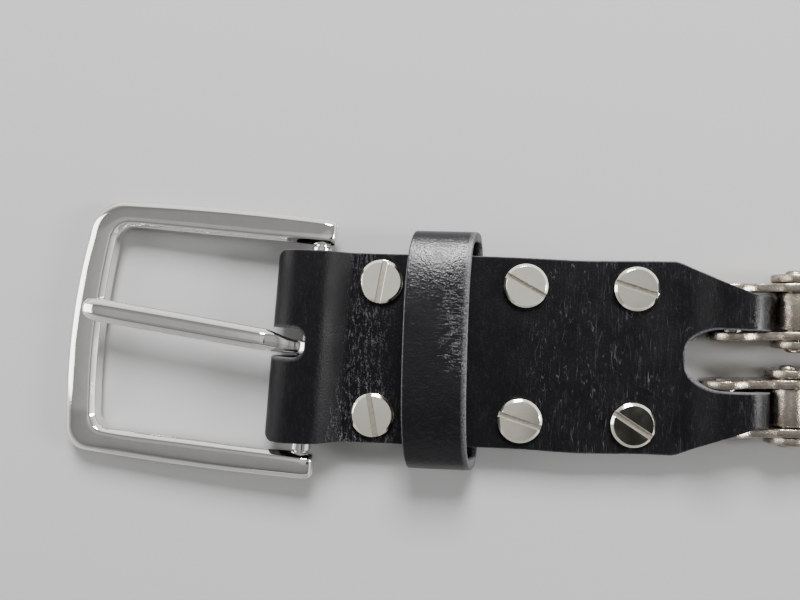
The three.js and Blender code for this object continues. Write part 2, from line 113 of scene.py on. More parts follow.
def ramp(tree, value, low, high, to_low=0.0, to_high=1.0):
    made = put(tree, "ShaderNodeMapRange", {"Value": value, "From Min": low, "From Max": high,
                                            "To Min": to_low, "To Max": to_high})
    return made.outputs[0]


# Greys of the dome by the height of the direction, from the horizon to straight up
DOME_GREYS = ((0.0, 1.0), (0.40, 0.75), (0.60, 0.33), (0.72, 0.13), (0.82, 0.19), (0.945, 0.20),
              (0.97, 0.29), (1.0, 0.31))
world = bpy.data.worlds.new("grey_dome")
world.use_nodes = True
bpy.context.scene.world = world
dome = world.node_tree
direction = put(dome, "ShaderNodeTexCoord").outputs["Generated"]
toward = put(dome, "ShaderNodeSeparateXYZ", {0: direction}).outputs
steps = put(dome, "ShaderNodeValToRGB", {0: toward["Z"]})
stops = steps.color_ramp.elements
for position, grey in DOME_GREYS:
    stop = stops[0] if position == 0 else stops[-1] if position == 1 else stops.new(position)
    stop.color = (grey, grey, 0.985 * grey, 1)

# A brighter strip overhead, a dark stand over the table's right side that is seen only in the
# lowest right screw, and a near side of the room that is dimmer than the far side
strip = ramp(dome, maths(dome, "ABSOLUTE", toward["Y"]), 0.125, 0.14, 1.4, 1.0)
to_stand = put(dome, "ShaderNodeVectorMath", {0: direction, 1: Vector((0.305, -0.16, 1)).normalized()},
               operation="DISTANCE").outputs["Value"]
stand = ramp(dome, to_stand, 0.12, 0.15, 0.02, 1.0)
near_side = ramp(dome, toward["Y"], -0.85, -0.25, 0.35, 1.0)
lit = steps.outputs[0]
for factor in (strip, stand, near_side):
    lit = put(dome, "ShaderNodeVectorMath", {0: lit, "Scale": factor}, operation="SCALE").outputs[0]
background = dome.nodes["Background"]
dome.links.new(lit, background.inputs["Color"])
background.inputs["Strength"].default_value = 1.7


# Floor: a plain pale sheet that the belt lies on.
def deselect_all():
    if bpy.context.object and bpy.context.object.mode == "EDIT":
        bpy.ops.object.mode_set(mode="OBJECT")
    bpy.ops.object.select_all(action="DESELECT")


def new_material(name):
    material = bpy.data.materials.new(name)
    material.use_nodes = True
    tree = material.node_tree
    return material, tree, tree.nodes["Principled BSDF"]


def blend_colors(tree, part, first, second):
    """Mixes two colours; the node's colour sockets are inputs 6 and 7 and output 2."""
    made = put(tree, "ShaderNodeMix", {0: part, 6: first, 7: second}, data_type="RGBA")
    return made.outputs[2]


deselect_all()
bpy.ops.mesh.primitive_plane_add(size=8, location=(0, 0, -0.0002))
floor = bpy.context.object
floor.name = "floor"
paper, tree, shader = new_material("pale_paper")
shader.inputs["Base Color"].default_value = (0.31, 0.31, 0.307, 1)
shader.inputs["Roughness"].default_value = 0.85
shader.inputs["Specular IOR Level"].default_value = 0.2
floor.data.materials.append(paper)


# Leather finish: black bridle leather with a fine grain, short creases where it was bent, whose
# glints are painted pale into its colour, pale hair scratches where it was handled, a smoother face
# where it is drawn round the chain pins, and fuzzy grey fibre on its cut edges.
def stretched(tree, place, scale, turn=0.0):
    return put(tree, "ShaderNodeMapping", {"Vector": place, "Scale": scale,
                                           "Rotation": (0, 0, turn)}).outputs[0]


def millimetres(tree, scale=(1, 1, 1), turn=0.0):
    """The piece's own coordinates in millimetres."""
    place = put(tree, "ShaderNodeTexCoord").outputs["Object"]
    return stretched(tree, place, [s / mm for s in scale], turn)


def new_group(name, inputs, outputs):
    group = bpy.data.node_groups.new(name, "ShaderNodeTree")
    for socket, kind in inputs:
        group.interface.new_socket(name=socket, in_out="INPUT", socket_type=kind)
    for socket, kind in outputs:
        group.interface.new_socket(name=socket, in_out="OUTPUT", socket_type=kind)
    return group, group.nodes.new("NodeGroupInput"), group.nodes.new("NodeGroupOutput")


def noise(tree, place, scale, detail=2.0, **others):
    return put(tree, "ShaderNodeTexNoise",
               {"Vector": place, "Scale": scale, "Detail": detail, **others}).outputs[0]


def hair_lines(tree, place, scale, turn, width):
    """Thin broken lines along Y: the level lines of a long drawn noise, cut by a second one."""
    drawn = noise(tree, stretched(tree, place, scale, turn), 1.0, 0.5, Distortion=0.1)
    off_level = maths(tree, "ABSOLUTE", maths(tree, "SUBTRACT", drawn, 0.5))
    line = ramp(tree, off_level, 0.0, width, 1.0, 0.0)
    cut = noise(tree, stretched(tree, place, (1, 0.6, 1), turn + 0.4), 0.7)
    return maths(tree, "MULTIPLY", line, ramp(tree, cut, 0.50, 0.60))


# Masks painted on the leather: creases (raised, with their glints painted pale), scratches, edge fibre and a
# smoother burnish
WEAR_AND_GLINT_MASKS = ("crease", "scratch", "edge", "burnish")
grain_group, given, result = new_group(
    "leather_grain",
    [("Place", "NodeSocketVector"), *((word.capitalize(), "NodeSocketFloat") for word in WEAR_AND_GLINT_MASKS)],
    [("Pale", "NodeSocketFloat"), ("Gloss", "NodeSocketFloat"), ("Height", "NodeSocketFloat")])
place = given.outputs["Place"]
pebbles = put(grain_group, "ShaderNodeTexVoronoi", {"Vector": place, "Scale": 2.6},
              feature="SMOOTH_F1").outputs["Distance"]
fine = noise(grain_group, place, 3.2, 5.0)
soft = noise(grain_group, place, 0.16, 3.0)
grain = maths(grain_group, "ADD", maths(grain_group, "MULTIPLY", pebbles, 0.5),
              maths(grain_group, "MULTIPLY", fine, 0.7))

# Creases: short strokes along Y that fan out a little, broken up by the grain; they are raised in the
# relief, and their glints are painted in as pale colour
strokes = noise(grain_group, stretched(grain_group, place, (2.7, 0.62, 1), 0.12), 1.0, Distortion=0.6)
crossed = noise(grain_group, stretched(grain_group, place, (2.3, 0.6, 1), -0.28), 1.0, Distortion=0.8)
stroke_marks = maths(grain_group, "MAXIMUM", ramp(grain_group, strokes, 0.54, 0.63),
                     ramp(grain_group, crossed, 0.57, 0.66))
broken = maths(grain_group, "MULTIPLY", stroke_marks, ramp(grain_group, fine, 0.40, 0.56))
creases_and_painted_glints = maths(grain_group, "MULTIPLY", broken, given.outputs["Crease"])

# Scratches: two sets nearly along Y and two finer ones across them
SCRATCHES = (((1.5, 0.11, 1), 0.25, 0.010), ((1.3, 0.10, 1), -0.30, 0.009),
             ((0.9, 0.08, 1), 0.9, 0.005), ((0.8, 0.07, 1), -1.15, 0.004))
scratches = 0.0
for scale, turn, width in SCRATCHES:
    scratches = maths(grain_group, "MAXIMUM", scratches, hair_lines(grain_group, place, scale, turn, width))
scratch_mask = maths(grain_group, "MULTIPLY", scratches, given.outputs["Scratch"])
edge_pale = maths(grain_group, "MULTIPLY", given.outputs["Edge"], ramp(grain_group, fine, 0.30, 0.52))
pale = maths(grain_group, "ADD", maths(grain_group, "MULTIPLY", scratch_mask, 0.32),
             maths(grain_group, "MULTIPLY", edge_pale, 0.5))
# Painted highlight: the creases' glints are painted in as pale colour
pale = maths(grain_group, "ADD", pale, maths(grain_group, "MULTIPLY", creases_and_painted_glints, 0.26), clamp=True)
grain_group.links.new(pale, result.inputs["Pale"])
gloss = maths(grain_group, "ADD", ramp(grain_group, soft, 0.3, 0.7, 0.40, 0.52),
              maths(grain_group, "MULTIPLY", edge_pale, 0.3))
gloss = maths(grain_group, "SUBTRACT", gloss, maths(grain_group, "MULTIPLY", given.outputs["Burnish"], 0.14))
grain_group.links.new(gloss, result.inputs["Gloss"])
relief_height = maths(grain_group, "ADD", maths(grain_group, "MULTIPLY", grain, 0.36),
                      maths(grain_group, "MULTIPLY", creases_and_painted_glints, 0.5))
relief_height = maths(grain_group, "SUBTRACT", relief_height,
                      maths(grain_group, "MULTIPLY", scratch_mask, 0.12))
grain_group.links.new(relief_height, result.inputs["Height"])


def leather_material(name, base, worn, relief, specular, smoother, turn=0.0):
    """Base colour, and the worn colour that also paints the creases' glints; relief in millimetres, and how
    much smoother it is than the plain grain.
    """
    material, tree, shader = new_material(name)
    skin = put(tree, "ShaderNodeGroup", {"Place": millimetres(tree, turn=turn)}, node_tree=grain_group)
    for word in WEAR_AND_GLINT_MASKS:
        painted = put(tree, "ShaderNodeAttribute", attribute_name=word).outputs["Fac"]
        tree.links.new(painted, skin.inputs[word.capitalize()])
    tree.links.new(blend_colors(tree, skin.outputs["Pale"], base, worn), shader.inputs["Base Color"])
    tree.links.new(maths(tree, "SUBTRACT", skin.outputs["Gloss"], smoother), shader.inputs["Roughness"])
    raised = put(tree, "ShaderNodeBump", {"Height": skin.outputs["Height"], "Distance": relief * mm})
    tree.links.new(raised.outputs[0], shader.inputs["Normal"])
    shader.inputs["Specular IOR Level"].default_value = specular
    return material


strap_leather = leather_material(
    "black_bridle_leather", (0.0019, 0.0020, 0.0024, 1), (0.20, 0.20, 0.22, 1),
    relief=0.17, specular=0.12, smoother=0.06)
keeper_leather = leather_material(
    "black_keeper_leather", (0.0018, 0.0017, 0.0026, 1), (0.15, 0.15, 0.165, 1),
    relief=0.27, specular=0.40, smoother=0.20, turn=math.pi / 2)

cut_edge, tree, shader = new_material("cut_leather_edge")
fibre = noise(tree, millimetres(tree, (1, 1, 2.5)), 2.2, 6.0, Roughness=0.7)
fuzz = blend_colors(tree, ramp(tree, fibre, 0.35, 0.75), (0.025, 0.025, 0.026, 1), (0.16, 0.16, 0.165, 1))
tree.links.new(fuzz, shader.inputs["Base Color"])
shader.inputs["Roughness"].default_value = 0.85
shader.inputs["Specular IOR Level"].default_value = 0.25
raised = put(tree, "ShaderNodeBump", {"Height": fibre, "Strength": 0.8, "Distance": 0.2 * mm})
tree.links.new(raised.outputs[0], shader.inputs["Normal"])


# Front strap: one strip of black leather 40 mm wide and 2.4 mm thick. One end is folded round the
# buckle bar and slotted for the tongue, the other is forked, and each tab goes round a chain pin.
# Heights are those of a layer's middle line, and places along it start at the fold's edge.
STRAP_HALF = 20
LEATHER = 2.4
ON_TABLE = LEATHER / 2
LOWER_LAYER = 2.45
UPPER_LAYER = 5.05
BAR_Z = 4.8
FOLD_SKEW = 0.05
SKEW_END = 85
SHOULDER = 85
TAB_MEETS_LAYER = 84
FORK_APEX = 85.9
TAB_HALF = 13.3
FRONT_COLUMNS = (22.5, 52.9, 75.8)
SCREW_ROW = 14
POST_HOLE = 2.45
SLOT_END_ABOVE = 8.1
SLOT_END_BELOW = 13
TONGUE_SLOT_Y = 0.6


def arc(centre_x, centre_z, reach_x, reach_z, from_degrees, to_degrees, count):
    """Points (x, z) on a round stretch of a strip's middle line."""
    turns = [math.radians(from_degrees + (to_degrees - from_degrees) * i / count) for i in range(count + 1)]
    return [(centre_x + reach_x * math.cos(t), centre_z + reach_z * math.sin(t)) for t in turns]


def ease(from_x, from_z, to_x, to_z, count):
    """Points on a soft S from one height to another."""
    parts = [i / count for i in range(count + 1)]
    return [(from_x + (to_x - from_x) * p, from_z + (to_z - from_z) * p * p * (3 - 2 * p)) for p in parts]


def run(from_x, to_x, z, spacing):
    """Points on a level stretch, without its two ends."""
    count = max(1, round(abs(to_x - from_x) / spacing))
    return [(from_x + (to_x - from_x) * i / count, z) for i in range(1, count)]


def chain_fold():
    """The fork's line round the chain pin: up from the top layer, round, and back along the table."""
    top, reach = 10, 5.2
    centre = FORK_END - LEATHER / 2 - reach
    return [
        *ease(SHOULDER, UPPER_LAYER, SHOULDER + 10, top, 14),
        *arc(centre, (top + ON_TABLE) / 2, reach, (top - ON_TABLE) / 2, 90, -90, 22),
        *run(centre, 90, ON_TABLE, 1.2),
        *ease(90, ON_TABLE, TAB_MEETS_LAYER, LOWER_LAYER, 8),
    ]


def front_line():
    """From the lower layer's end, round the buckle bar, along the top, round the pins and back."""
    top, reach, lower_end, tail = 9.6, 4.8, 29.4, 45.6
    centre = LEATHER / 2 + reach
    return [
        (lower_end, LOWER_LAYER),
        *run(lower_end, 16.6, LOWER_LAYER, 1.4),
        *ease(16.6, LOWER_LAYER, 12.6, ON_TABLE, 5),
        *run(12.6, centre, ON_TABLE, 0.7),
        *arc(centre, (top + ON_TABLE) / 2, reach, (top - ON_TABLE) / 2, 270, 90, 24),
        *run(centre, 9.2, top, 0.35),
        *ease(9.2, top, 16.8, UPPER_LAYER, 12),
        *run(16.8, SHOULDER, UPPER_LAYER, 1.1),
        *chain_fold(),
        *run(TAB_MEETS_LAYER, tail, LOWER_LAYER, 1.4),
        (tail, LOWER_LAYER),
    ]


def step(value, low, high):
    part = min(max((value - low) / (high - low), 0), 1)
    return part * part * (3 - 2 * part)


def half_width(x):
    """Half the width in plan: full, then drawn in over the shoulder to the tab."""
    start, end = 84.0, 98.5
    straight = min(max((x - start) / (end - start), 0), 1)
    return STRAP_HALF + (TAB_HALF - STRAP_HALF) * (0.55 * step(x, start, end) + 0.45 * straight)


def front_half_width(x):
    """The front strap is also rounded off a little at its fold."""
    corner, length = 1.5, 1.7
    return half_width(x) - corner * max(0, 1 - (x - LEATHER / 2) / length) ** 2


def fork_gap(x):
    """Half the fork's slot: a round end, then the gap between the tabs."""
    radius, tab_inner = 5.35, 6.2
    flare = (tab_inner - radius) * step(x, 87.5, 92.5)
    return flare + math.sqrt(max(radius ** 2 - max(FORK_APEX + radius - x, 0) ** 2, 0))


def tongue_gap(x, end):
    """Half the tongue slot, which ends round on both layers."""
    half = 3.1
    if x < end - half:
        return half
    return math.sqrt(max(half ** 2 - (x - end + half) ** 2, 0))


def beside_gap(to_gap):
    """Half the spacing of the two middle columns where no slot parts them."""
    return min(3, 0.6 * to_gap)


def swell(x, y, start, full, columns):
    """The top layer swells a little between the screws and is pressed down under their heads."""
    rise, pressed, spread = 0.22, 0.3, 30
    near_screws = sum(math.exp(-((x - c) ** 2 + (abs(y) - SCREW_ROW) ** 2) / spread) for c in columns)
    free = step(x, start, full) * (1 - step(x, 84, 89))
    return free * (rise - pressed * min(near_screws, 1))


STRAP_SHARES = (0, 0.02, 0.06, 0.13, 0.24, 0.37, 0.50, 0.63, 0.76, 0.87, 0.95, 1)


def strap_columns(half, gap, gap_middle):
    """The y of one row's points from the lower edge to the upper, with the slot's two sides between."""
    below = [-half + (gap_middle - gap + half) * share for share in STRAP_SHARES]
    above = [half + (gap_middle + gap - half) * share for share in reversed(STRAP_SHARES)]
    return below + above


def sweep(name, rows, closed):
    """Extrudes one row of points through all the rows: an open row lays a strip, a closed one a bar."""
    count = len(rows[0])
    deselect_all()
    if closed:
        bpy.ops.mesh.primitive_circle_add(vertices=count, radius=1 * mm, fill_type="NGON")
    else:
        bpy.ops.mesh.primitive_grid_add(x_subdivisions=1, y_subdivisions=count - 1, size=2 * mm)
    piece = bpy.context.object
    piece.name = name
    bpy.ops.object.mode_set(mode="EDIT")
    bpy.ops.mesh.select_mode(type="VERT")
    shape = bmesh.from_edit_mesh(piece.data)
    shape.verts.layers.int.new("row")
    column_of = shape.verts.layers.int.new("column")
    if not closed:
        ends = sorted(shape.verts, key=lambda vert: vert.co.x)
        bmesh.ops.delete(shape, geom=ends[count:], context="VERTS")
    start = list(shape.verts) if closed else sorted(shape.verts, key=lambda vert: vert.co.y)
    for index, vert in enumerate(start):
        vert.co = rows[0][index]
        vert[column_of] = index
    bmesh.update_edit_mesh(piece.data)
    bpy.ops.mesh.select_all(action="SELECT")
    for number, row in enumerate(rows[1:], 1):
        bpy.ops.mesh.extrude_region_move()
        shape = bmesh.from_edit_mesh(piece.data)
        row_of = shape.verts.layers.int["row"]
        column_of = shape.verts.layers.int["column"]
        for vert in shape.verts:
            if vert.select:
                vert[row_of] = number
                vert.co = row[vert[column_of]]
        bmesh.update_edit_mesh(piece.data)
    bpy.ops.object.mode_set(mode="OBJECT")
    return piece


def edit_selected(piece, kind, test, *operations):
    """Selects the faces, edges or points of a piece that pass a test, and runs the operations."""
    deselect_all()
    piece.select_set(True)
    bpy.context.view_layer.objects.active = piece
    bpy.ops.object.mode_set(mode="EDIT")
    bpy.ops.mesh.select_mode(type=kind)
    bpy.ops.mesh.select_all(action="DESELECT")
    shape = bmesh.from_edit_mesh(piece.data)
    for part in {"VERT": shape.verts, "EDGE": shape.edges, "FACE": shape.faces}[kind]:
        part.select_set(test(part))
    bmesh.update_edit_mesh(piece.data)
    for operation, settings in operations:
        operation(**settings)
    bpy.ops.object.mode_set(mode="OBJECT")


def turn_out(piece):
    """Turns all faces outwards."""
    edit_selected(piece, "FACE", lambda face: True,
                  (bpy.ops.mesh.normals_make_consistent, {"inside": False}))


def close_seams(piece, distance):
    """Merges doubled points closer than a distance in millimetres and turns all faces outwards."""
    edit_selected(piece, "VERT", lambda vert: True,
                  (bpy.ops.mesh.remove_doubles, {"threshold": distance * mm}),
                  (bpy.ops.mesh.normals_make_consistent, {"inside": False}))


def paint(piece, name, value_at):
    """Gives each point a value worked out from its row and column."""
    rows = [cell.value for cell in piece.data.attributes["row"].data]
    columns = [cell.value for cell in piece.data.attributes["column"].data]
    layer = piece.data.attributes.new(name, "FLOAT", "POINT")
    for index, cell in enumerate(layer.data):
        cell.value = value_at(rows[index], columns[index])


def apply_modifier(piece, kind, **settings):
    deselect_all()
    piece.select_set(True)
    bpy.context.view_layer.objects.active = piece
    modifier = piece.modifiers.new(kind.lower(), kind)
    for name, value in settings.items():
        setattr(modifier, name, value)
    bpy.ops.object.modifier_apply(modifier=modifier.name)


def bevel(piece, width, segments, degrees, **others):
    """Bevels the edges that are sharper than an angle."""
    apply_modifier(piece, "BEVEL", width=width * mm, segments=segments, limit_method="ANGLE",
                   angle_limit=math.radians(degrees), **others)


def thicken(piece, thickness, rounding):
    """Gives a laid strip its wall and softens the cut corners."""
    apply_modifier(piece, "SOLIDIFY", thickness=thickness * mm, offset=0, use_quality_normals=True,
                   material_offset_rim=1)
    bevel(piece, rounding, 3, 55, loop_slide=False)


def smooth(piece, degrees):
    deselect_all()
    piece.select_set(True)
    bpy.context.view_layer.objects.active = piece
    bpy.ops.object.shade_smooth_by_angle(angle=math.radians(degrees))


def cut_slots(piece, gap_column, slot_rows):
    """Deletes a laid strap's faces inside its slots, merges its doubled points and turns it out."""
    row_of = [cell.value for cell in piece.data.attributes["row"].data]
    column_of = [cell.value for cell in piece.data.attributes["column"].data]
    inside = set()
    for face in piece.data.polygons:
        between = {column_of[v] for v in face.vertices} == {gap_column, gap_column + 1}
        if between and all(row_of[v] in slot_rows for v in face.vertices):
            inside.add(face.index)
    edit_selected(piece, "FACE", lambda face: face.index in inside, (bpy.ops.mesh.delete, {"type": "FACE"}))
    close_seams(piece, 0.03)


def dress_strap(strap, line, slot_rows, worn, bent, handled):
    """Paints the wear and the creases, whose glints are painted pale, gives the laid strap its wall and
    leaves it with its two materials.
    """
    last = 2 * len(STRAP_SHARES) - 1
    inner = len(STRAP_SHARES)

    def on_edge(row, column):
        from_outside = min(column, last - column)
        if from_outside == 0:
            return worn(line[row][0], 1 if column > inner else -1)
        if row in slot_rows and column in (inner - 1, inner):
            return worn(line[row][0], 0)
        return 0

    def across(column):
        share = STRAP_SHARES[min(column, last - column)]
        return STRAP_HALF * (1 - share) * (1 if column >= inner else -1)

    paint(strap, "edge", on_edge)
    paint(strap, "crease", lambda row, column: bent(row, line[row][0], across(column)))
    paint(strap, "scratch", lambda row, column: handled(row, line[row][0], across(column)))
    paint(strap, "burnish", lambda row, column: step(line[row][0], 95, 98.5))
    cut_slots(strap, inner - 1, slot_rows)
    strap.data.materials.append(strap_leather)
    strap.data.materials.append(cut_edge)
    thicken(strap, LEATHER, 0.35)


def punch(piece, places, radius):
    """Punches a round hole through a piece at each place."""
    for place in places:
        deselect_all()
        bpy.ops.mesh.primitive_cylinder_add(vertices=40, radius=radius * mm, depth=60 * mm, location=place)
        cutter = bpy.context.object
        apply_modifier(piece, "BOOLEAN", operation="DIFFERENCE", object=cutter, solver="EXACT")
        bpy.data.objects.remove(cutter)


def lay_strap(name, line, place, half_at, inside_slot, gap_at, lift_at, sway_at):
    """Lays one strap along its line; the rows inside a slot are given back for cutting."""
    rows = []
    slot_rows = set()
    for index, (x, z) in enumerate(line):
        if inside_slot(index, x):
            slot_rows.add(index)
        gap, gap_middle = gap_at(index, x)
        columns = strap_columns(half_at(x), max(gap, 0.02), gap_middle)
        rows.append([place(x, y + sway_at(x), z + lift_at(index, x, y)) for y in columns])
    return sweep(name, rows, closed=False), slot_rows


front = front_line()
fold_row = front.index(min(front))
fork_row = front.index(max(front))


def slot_end(index):
    """Where the tongue's slot ends in a row's layer. The layer that comes back has no such slot."""
    if index >= fork_row:
        return -math.inf
    return SLOT_END_ABOVE if index >= fold_row else SLOT_END_BELOW


def front_inside_slot(index, x):
    return x > FORK_APEX or x < slot_end(index)


def front_gap(index, x):
    end = slot_end(index)
    if x > FORK_APEX:
        return fork_gap(x), 0
    if x < end:
        return tongue_gap(x, end), TONGUE_SLOT_Y
    return beside_gap(min(FORK_APEX - x, x - end)), TONGUE_SLOT_Y * max(0, 1 - x / 40)


def on_front(x, y, z):
    """The buckle end lies a little askew."""
    return on_belt(x + FOLD_SKEW * y * max(0, 1 - x / SKEW_END), y, z)


def front_lift(index, x, y):
    return swell(x, y, 17, 21, FRONT_COLUMNS) if fold_row < index < fork_row else 0


def front_worn(x, side):
    """The top corner is rubbed pale along the far edge and round the fork's slot."""
    return (0.45 + 0.55 * step(x, 45, 70)) * {1: 1, 0: 1, -1: 0.3}[side]


def front_bent(index, x, y):
    """The top layer is creased across where it comes down from the bar to the first screws; the creases'
    glints are painted pale.
    """
    if not fold_row < index < fork_row:
        return 0.2
    start = 13.5 + 0.14 * min(y, 0)
    folded = step(x, start, start + 3) * (1 - step(x, 19 - 0.2 * min(y, 0), 27 - 0.2 * min(y, 0)))
    return folded * (0.7 + 0.3 * step(-y, 0, 14)) + 0.05


def front_handled(index, x, y):
    """It is scratched most on the keeper's right side."""
    return 0.10 + 0.60 * step(x, 50, 60) * (1 - 0.6 * step(x, 78, 86))


front_strap, front_slots = lay_strap(
    "front_strap_leather", front, on_front, front_half_width, front_inside_slot, front_gap, front_lift,
    lambda x: -0.35 * math.exp(-((x - 65) / 9) ** 2))
dress_strap(front_strap, front, front_slots, front_worn, front_bent, front_handled)
front_screws = [on_front(x, y, 0) for x in FRONT_COLUMNS for y in (SCREW_ROW, -SCREW_ROW)]
punch(front_strap, front_screws, POST_HOLE)
smooth(front_strap, 40)
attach(front_strap, "strap")
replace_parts(front_strap, "front_strap")


# Keeper: a closed loop of smoother black leather, 12.8 mm wide, that goes right round the strap and
# stands up over it with room for the tip. Its crown leans towards the buckle.
KEEPER = {"x": 38.6, "y": 0.15, "width": 12.8, "wall": 2.1, "half": 24.85, "seat": 6, "top": 14.6,
          "lean": 4.3}


def keeper_ring(count):
    """The loop's middle line across the belt, flatter below than above."""
    inset = KEEPER["wall"] / 2
    points = []
    for i in range(count + 1):
        turn = 2 * math.pi * i / count
        above = math.sin(turn) >= 0
        power = 2 / (2.7 if above else 4.5)
        height = (KEEPER["top"] - KEEPER["seat"] if above else KEEPER["seat"]) - inset
        across = math.copysign(abs(math.cos(turn)) ** power, math.cos(turn))
        up = math.copysign(abs(math.sin(turn)) ** power, math.sin(turn))
        points.append((KEEPER["y"] + across * (KEEPER["half"] - inset), KEEPER["seat"] + up * height))
    return points


KEEPER_SHARES = (0, 0.03, 0.1, 0.2, 0.33, 0.5, 0.67, 0.8, 0.9, 0.96, 1)
ring = keeper_ring(120)
keeper_rows = []
for y, z in ring:
    left = KEEPER["x"] - KEEPER["lean"] * z / KEEPER["top"] - KEEPER["width"] / 2
    cupped = 0.25 * step(z, 8, 13)
    keeper_rows.append([on_belt(left + KEEPER["width"] * s, y, z - cupped * (2 * s - 1) ** 2)
                        for s in KEEPER_SHARES])
keeper = sweep("keeper_leather", keeper_rows, closed=False)
last_share = len(KEEPER_SHARES) - 1


def keeper_bent(row, column):
    """It is creased across near its right edge, over the upper half of the crown, with the creases' glints
    painted pale.
    """
    y, z = ring[row]
    creased = step(KEEPER_SHARES[column], 0.55, 0.9) * step(y, -6, 3) * (1 - step(y, 14, 19))
    return 0.06 + (0.8 * creased if z > 8 else 0)


paint(keeper, "edge", lambda row, column: {last_share: 1, last_share - 1: 0.7, 0: 0.3}.get(column, 0))
paint(keeper, "crease", keeper_bent)
paint(keeper, "scratch", lambda row, column: 0.12)
paint(keeper, "burnish", lambda row, column: 0.3)
close_seams(keeper, 0.03)
keeper.data.materials.append(keeper_leather)
keeper.data.materials.append(cut_edge)
thicken(keeper, KEEPER["wall"], 0.3)
smooth(keeper, 40)
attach(keeper, "strap")
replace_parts(keeper, "keeper_loop")


# Buckle frame: a cast and polished U of nickel-plated zinc, open towards the strap, with rounded
# corners, a crowned face and soft bevels. It turns on a bar that sits in its two arm ends.
hinge = frame["joints"][0]
bar_place = Vector(hinge["pos_m"])
FRAME = {"reach": 52, "past": 3, "half": 27.6, "arm": 5.5, "far": 6.4, "thick": 5, "bevel": 1.2}
FRAME_BOW = {"arm": 0.5, "far": 1.6, "far_inside": 1.1}
UPPER_CORNER = 7.8
LOWER_CORNER = 5.2
INNER_CORNER = 3.4
FAR_SKEW = 0.7

# The far bar lies on the table, so the frame slopes down from the hinge.
foot_reach = FRAME["reach"] + FRAME_BOW["far"] - FRAME["bevel"]
foot_depth = FRAME["thick"] / 2
slope = math.asin(BAR_Z / math.hypot(foot_reach, foot_depth)) - math.atan2(foot_depth, foot_reach)
yaw = math.atan2(-hinge["axis"][0], hinge["axis"][1])
on_bar = Matrix.Translation(bar_place) @ Matrix.Rotation(yaw, 4, "Z") @ Matrix.Rotation(-slope, 4, "Y")


def from_bar(x, y, z):
    return on_bar @ Vector((x * mm, y * mm, z * mm))


def half_stations(corner):
    """Pairs of points on the frame's outer and inner outline, from an arm's end to the far bar's middle."""
    half, inner = FRAME["half"], FRAME["half"] - FRAME["arm"]
    left = -FRAME["reach"]
    arm_from = left + corner
    inner_from = left + FRAME["far"] + INNER_CORNER
    pairs = []
    for part in (0, 0.2, 0.5, 1.3, 2.4, 4, 8, 16, 24, 32, 38, 42):
        share = part / (FRAME["past"] - arm_from)
        x = FRAME["past"] - part
        pairs.append(((x, half + FRAME_BOW["arm"] * 4 * share * (1 - share)), (x, inner)))
    for i in range(11):
        turn = math.radians(90 + 9 * i)
        outer = (arm_from + corner * math.cos(turn), half - corner * (1 - math.sin(turn)))
        inside = (inner_from + INNER_CORNER * math.cos(turn), inner - INNER_CORNER * (1 - math.sin(turn)))
        pairs.append((outer, inside))
    for share in (0.08, 0.2, 0.4, 0.6, 0.8, 1):
        out = 1 - (1 - share) ** 2
        outer = (left - FRAME_BOW["far"] * out, (half - corner) * (1 - share))
        inside = (left + FRAME["far"] - FRAME_BOW["far_inside"] * out, (inner - INNER_CORNER) * (1 - share))
        pairs.append((outer, inside))
    return pairs


def frame_stations():
    """Both halves; the cast U is a little longer on its lower side."""
    lower = [((a[0], -a[1]), (b[0], -b[1])) for a, b in reversed(half_stations(LOWER_CORNER)[:-1])]

    def skewed(x, y):
        longer = FAR_SKEW / FRAME["reach"] * (FRAME["half"] - y) / (2 * FRAME["half"])
        return x * (1 + longer) if x < 0 else x, y

    return [(skewed(*outer), skewed(*inside)) for outer, inside in half_stations(UPPER_CORNER) + lower]


# The section from the outer edge over the face to the inner edge and back below: the distance
# from the outer edge, or from the inner edge where negative, and the height over the middle.
FRAME_SECTION = (
    (0, 0), (0.0, 1.1), (0.06, 1.44), (0.16, 1.57), (0.98, 2.14), (1.12, 2.21), (1.45, 2.29), (2.1, 2.40),
    (-2.1, 2.50), (-1.35, 2.45), (-1.05, 2.36), (-0.92, 2.28), (-0.22, 1.56), (-0.08, 1.36), (0, 0.9),
    (0, 0), (-0.03, -0.9), (-0.35, -1.75), (-1.1, -2.4), (-1.9, -2.5),
    (1.9, -2.5), (1.1, -2.4), (0.35, -1.75), (0.03, -0.9),
)
# How full the section is at the first stations from an arm's end, which is rounded
ARM_END = (0.62, 0.78, 0.88, 0.96)


def frame_rows():
    rows = []
    pairs = frame_stations()
    for index, (outer, inside) in enumerate(pairs):
        across = Vector(inside) - Vector(outer)
        width = across.length
        from_end = min(index, len(pairs) - 1 - index)
        shrink = ARM_END[from_end] if from_end < len(ARM_END) else 1
        row = []
        for number, (distance, height) in enumerate(FRAME_SECTION):
            share = distance / width if distance > 0 or number == 0 else 1 + distance / width
            share = 0.5 + (share - 0.5) * (0.35 + 0.65 * shrink)
            place = Vector(outer) + across * share
            row.append(from_bar(place.x, place.y, height * shrink))
        rows.append(row)
    return rows


buckle_frame = sweep("buckle_frame_cast", frame_rows(), closed=True)
turn_out(buckle_frame)
apply_modifier(buckle_frame, "SUBSURF", levels=2, render_levels=2)
smooth(buckle_frame, 60)

